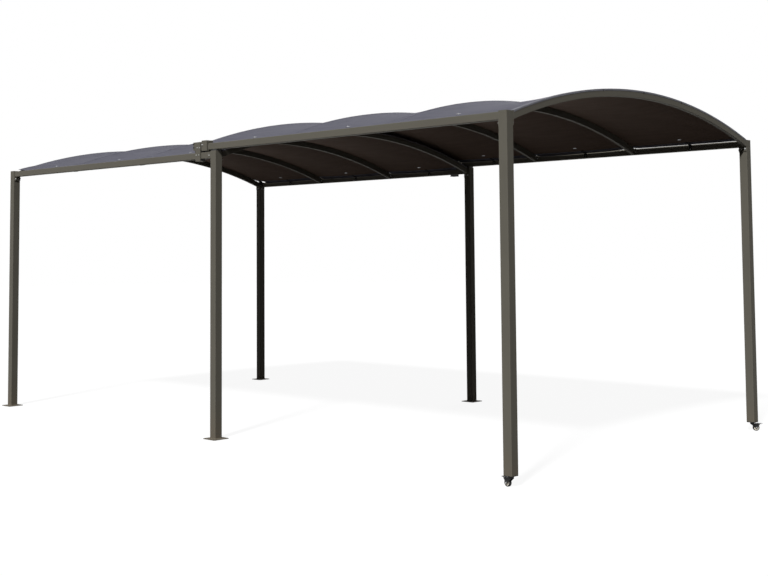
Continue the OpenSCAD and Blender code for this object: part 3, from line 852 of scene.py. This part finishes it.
def pan_screw(bm, place, towards):
    shape = Matrix.Diagonal((SCREW_WIDTH, SCREW_WIDTH, 2 * SCREW_HIGH * SCREW_WIDTH, 1))
    dome = bmesh.ops.create_uvsphere(bm, u_segments=16, v_segments=8, radius=0.5,
                                     matrix=seat_on(place, towards) @ shape)["verts"]
    under = [vert for vert in dome if (vert.co - place).dot(Vector(towards)) < -TINY]
    bmesh.ops.delete(bm, geom=under, context="VERTS")
    bmesh.ops.holes_fill(bm, edges=[edge for edge in bm.edges if edge.is_boundary], sides=0)


trial = bmesh.new()
hex_bolt(trial, Vector(), UP)
print("a bolt has", len(trial.faces), "faces")
trial.free()

# %% [markdown]
# The bolts' places come from the boxes of the CAD nodes, so they follow when
# the frame changes. On the fixed bay they hold both ends of the beams, the
# plates of the arches and, outside, the inner end of each beam. The end arches
# have narrow plates with larger bolts.

# %% Bolts of the fixed bay
PLATE_THICK, BEAM_BOLT_DOWN, BEAM_BOLT_SHIFT = 5 * MM, 70 * MM, 16 * MM
# Half the distance of a pair, height over the plate's foot, and width across the flats
END_PLATE, INNER_PLATE = (16 * MM, 20 * MM, 13 * MM), (22.5 * MM, 27 * MM, 10 * MM)
BEAM_END_BOLT = (22 * MM, 28 * MM)
SMALL_BOLT = 10 * MM
SIDES = {"front": -1, "back": 1}


def beam_plate_bolts(bm, node, at_low, at_high):
    low, high = corners(node)
    y, z = (low.y + high.y) / 2, high.z - BEAM_BOLT_DOWN
    for shift in (-BEAM_BOLT_SHIFT, BEAM_BOLT_SHIFT):
        if at_low:
            hex_bolt(bm, Vector((low.x + PLATE_THICK, y + shift, z)), (1, 0, 0))
        if at_high:
            hex_bolt(bm, Vector((high.x - PLATE_THICK, y + shift, z)), (-1, 0, 0))


def arch_plate_bolts(bm, node, half_pair, up, flats):
    low, high = corners(node)
    for side in (-1, 1):
        for shift in (-half_pair, half_pair):
            place = Vector(((low.x + high.x) / 2 + shift, side * (high.y - PLATE_THICK), low.z + up))
            hex_bolt(bm, place, (0, -side, 0), flats)


bm = bmesh.new()
for row, side in SIDES.items():
    beam_plate_bolts(bm, f"fixed_beam_{row}", True, True)
    high = corners(f"fixed_beam_{row}")[1]
    back, down = BEAM_END_BOLT
    place = Vector((high.x - back, side * (half_rows + BEAM_HALF), high.z - down))
    hex_bolt(bm, place, (0, side, 0), SMALL_BOLT)
for i in (1, 2, 3, 4):
    arch_plate_bolts(bm, f"fixed_arch_{i}", *(END_PLATE if i in (1, 4) else INNER_PLATE))
for place, inwards in strap_screws["fixed"]:
    pan_screw(bm, place, (0, inwards, 0))
piece("fixed_bolts", bm, flake_zinc, "fixed_frame")

# %% [markdown]
# On the rolling bay the same bolts hold the outer ends of the beams and the
# plates of the arches, and small ones hold the carriages and stub posts. Two
# black bolts show at the end of each carriage that faces the outer posts of the
# fixed bay, and three black screws hold the binding to the last arch.

# %% Bolts of the rolling bay
# Back from the end at the stub post and up from the carriage's foot, in mm
CARRIAGE_BOLTS, CARRIAGE_FLATS = ((50, 49), (17, 49), (8, 105), (38, 105)), 8 * MM
BLACK_BOLTS, BLACK_BOLT_INSET = (12 * MM, 40 * MM), 8 * MM
STUB_BOLT = (25 * MM, 48 * MM)
BINDING_SCREWS, BINDING_SCREW_OUT, BINDING_SCREW_DOWN = (-0.5, 0.0, 0.5), 1.8 * MM, 6 * MM


def outer_face(low, high, side):
    return low.y if side < 0 else high.y


bm = bmesh.new()
dark = bmesh.new()
for row, side in SIDES.items():
    beam_plate_bolts(bm, f"mobile_beam_{row}", False, True)
    low, high = corners(f"carriage_{row}")
    face = outer_face(low, high, side)
    for back, up in CARRIAGE_BOLTS:
        place = Vector((high.x - back * MM, face, low.z + up * MM))
        hex_bolt(bm, place, (0, side, 0), CARRIAGE_FLATS)
    for down in BLACK_BOLTS:
        hex_bolt(dark, Vector((low.x + BLACK_BOLT_INSET, face, high.z - down)), (0, side, 0), SMALL_BOLT)
    low, high = corners(f"stub_post_{row}")
    along, up = STUB_BOLT
    place = Vector((low.x + along, outer_face(low, high, side), low.z + up))
    hex_bolt(bm, place, (0, side, 0), SMALL_BOLT)
for i in (1, 2, 3, 4):
    arch_plate_bolts(bm, f"mobile_arch_{i}", *(END_PLATE if i == 4 else INNER_PLATE))
for place, inwards in strap_screws["mobile"]:
    pan_screw(bm, place, (0, inwards, 0))
last_arch = corners("mobile_arch_4")[1].x
for y in BINDING_SCREWS:
    height = springs["mobile"] + arch_height(y, END_ARCH_RISE) - BINDING_SCREW_DOWN
    pan_screw(dark, Vector((last_arch + BINDING_SCREW_OUT, y, height)), (1, 0, 0))
piece("mobile_bolts", bm, flake_zinc, "mobile_frame")
piece("carriage_end_bolts", dark, finishes["black_steel"], "mobile_frame")

# %% [markdown]
# The box of each carriage is a length of square tube, closed at both ends by
# a welded plate. The plate towards the castors also carries the spacer of the
# stub post. A plate is a thin block that reaches into the tube, with the edges
# of its outer face eased so that the weld groove shows as a line.

# %% Carriage end plates
CARRIAGE_WALL, CARRIAGE_BOX, CARRIAGE_BITE, PLATE_SOFT = 3 * MM, 63 * MM, 0.2 * MM, 1.0 * MM


def carriage_end_plate(bm, low, high, outwards):
    tight = CARRIAGE_WALL - CARRIAGE_BITE
    size = Vector((CARRIAGE_WALL, high.y - low.y - 2 * tight, CARRIAGE_BOX - 2 * tight))
    end = high.x if outwards > 0 else low.x
    centre = Vector((end - outwards * size.x / 2, (low.y + high.y) / 2, high.z - CARRIAGE_BOX / 2))
    block = bmesh.ops.create_cube(bm, size=1.0, matrix=Matrix.LocRotScale(centre, None, size))["verts"]
    face = {vert for vert in block if (vert.co.x - centre.x) * outwards > 0}
    soften(bm, edges_among(bm, face), PLATE_SOFT, 3)


bm = bmesh.new()
for row in SIDES:
    low, high = corners(f"carriage_{row}")
    for outwards in (-1, 1):
        carriage_end_plate(bm, low, high, outwards)
bmesh.ops.recalc_face_normals(bm, faces=bm.faces[:])
piece("carriage_end_plates", bm, coat, "mobile_frame")

# %% [markdown]
# The beams of the rolling bay pass just over the inner posts. The photograph
# shows no daylight there, so a low nylon glide lies on each of those posts. It
# is a block with a wide soft bevel, so that a beam runs up on it without a jolt.

# %% Post glides
GLIDE_LENGTH, GLIDE_WIDTH, GLIDE_GAP, GLIDE_SOFT = 64 * MM, 48 * MM, 0.4 * MM, 4 * MM
bm = bmesh.new()
foot = corners("fixed_post_caps")[1].z
for row in SIDES:
    post = middle(f"post_{row}_inner")
    top = corners(f"mobile_beam_{row}")[1].z - 2 * BEAM_HALF - GLIDE_GAP
    centre = Vector((post.x, post.y, (foot + top) / 2))
    size = Vector((GLIDE_LENGTH, GLIDE_WIDTH, top - foot))
    block = bmesh.ops.create_cube(bm, size=1.0, matrix=Matrix.LocRotScale(centre, None, size))["verts"]
    upper = {vert for vert in block if vert.co.z > centre.z}
    soften(bm, edges_among(bm, upper), GLIDE_SOFT, 4)
    print(row, "glide", round((top - foot) / MM, 2), "mm high")
bmesh.ops.recalc_face_normals(bm, faces=bm.faces[:])
piece("post_glides", bm, finishes["nylon"], "fixed_frame")

# %% [markdown]
# Each post is welded to its base plate all round. The bead starts as a circle
# of points that are moved to the post's outline, a square with rounded
# corners. Its edges are extruded once, up and in to the tube. Every second
# point of the foot is drawn in a little, as small waves show where the torch
# moved on. The bead wears the same coat as the post.

# %% Foot welds
WELD, WELD_WAVE, WELD_POINTS = 5 * MM, 0.7 * MM, 144
POST_CORNER, WELD_GAP = 4 * MM, 0.3 * MM


def round_square(towards, half, corner):
    point = towards / max(abs(towards.x), abs(towards.y)) * half
    flat = half - corner
    inner = Vector((min(max(point.x, -flat), flat), min(max(point.y, -flat), flat), 0))
    return inner + (point - inner).normalized() * corner


def weld_bead(bm, centre, side):
    foot = bmesh.ops.create_circle(bm, segments=WELD_POINTS, radius=1.0)["verts"]
    lifted = bmesh.ops.extrude_edge_only(bm, edges=[e for e in bm.edges if e.is_wire])["geom"]
    for vert in (v for v in lifted if isinstance(v, bmesh.types.BMVert)):
        vert.co = centre + round_square(vert.co, side / 2 + WELD_GAP, POST_CORNER) + Vector((0, 0, WELD))
    for i, vert in enumerate(foot):
        reach = WELD - WELD_WAVE * (i % 2)
        vert.co = centre + round_square(vert.co, side / 2 + reach, POST_CORNER + reach)


bm = bmesh.new()
for row in SIDES:
    for end in ("outer", "inner"):
        low, high = corners(f"post_{row}_{end}")
        weld_bead(bm, Vector(((low.x + high.x) / 2, (low.y + high.y) / 2, low.z)), high.x - low.x)
bmesh.ops.recalc_face_normals(bm, faces=bm.faces[:])
piece("foot_welds", bm, coat, "fixed_frame", smooth=True)

# %% [markdown]
# Each castor's axle is a bolt with a nut on either cheek of the fork. The
# record gives the axle's place and direction for the way the castor points at
# rest, and the nuts turn with the fork.

# %% Axle nuts
CHEEK_OUTSIDE, NUT_FLATS = 13 * MM, 9 * MM
for joint in frame["record"]["behaviour"]["joints"]:
    if joint["name"].startswith("wheel_spin"):
        row = joint["name"].rsplit("_", 1)[1]
        centre, axle = Vector(joint["pos_m"]), Vector(joint["axis"]).normalized()
        bm = bmesh.new()
        for way in (-1, 1):
            hex_bolt(bm, centre + axle * way * CHEEK_OUTSIDE, axle * way, NUT_FLATS)
        piece(f"axle_nuts_{row}", bm, finishes["zinc"], f"swivel_{row}")
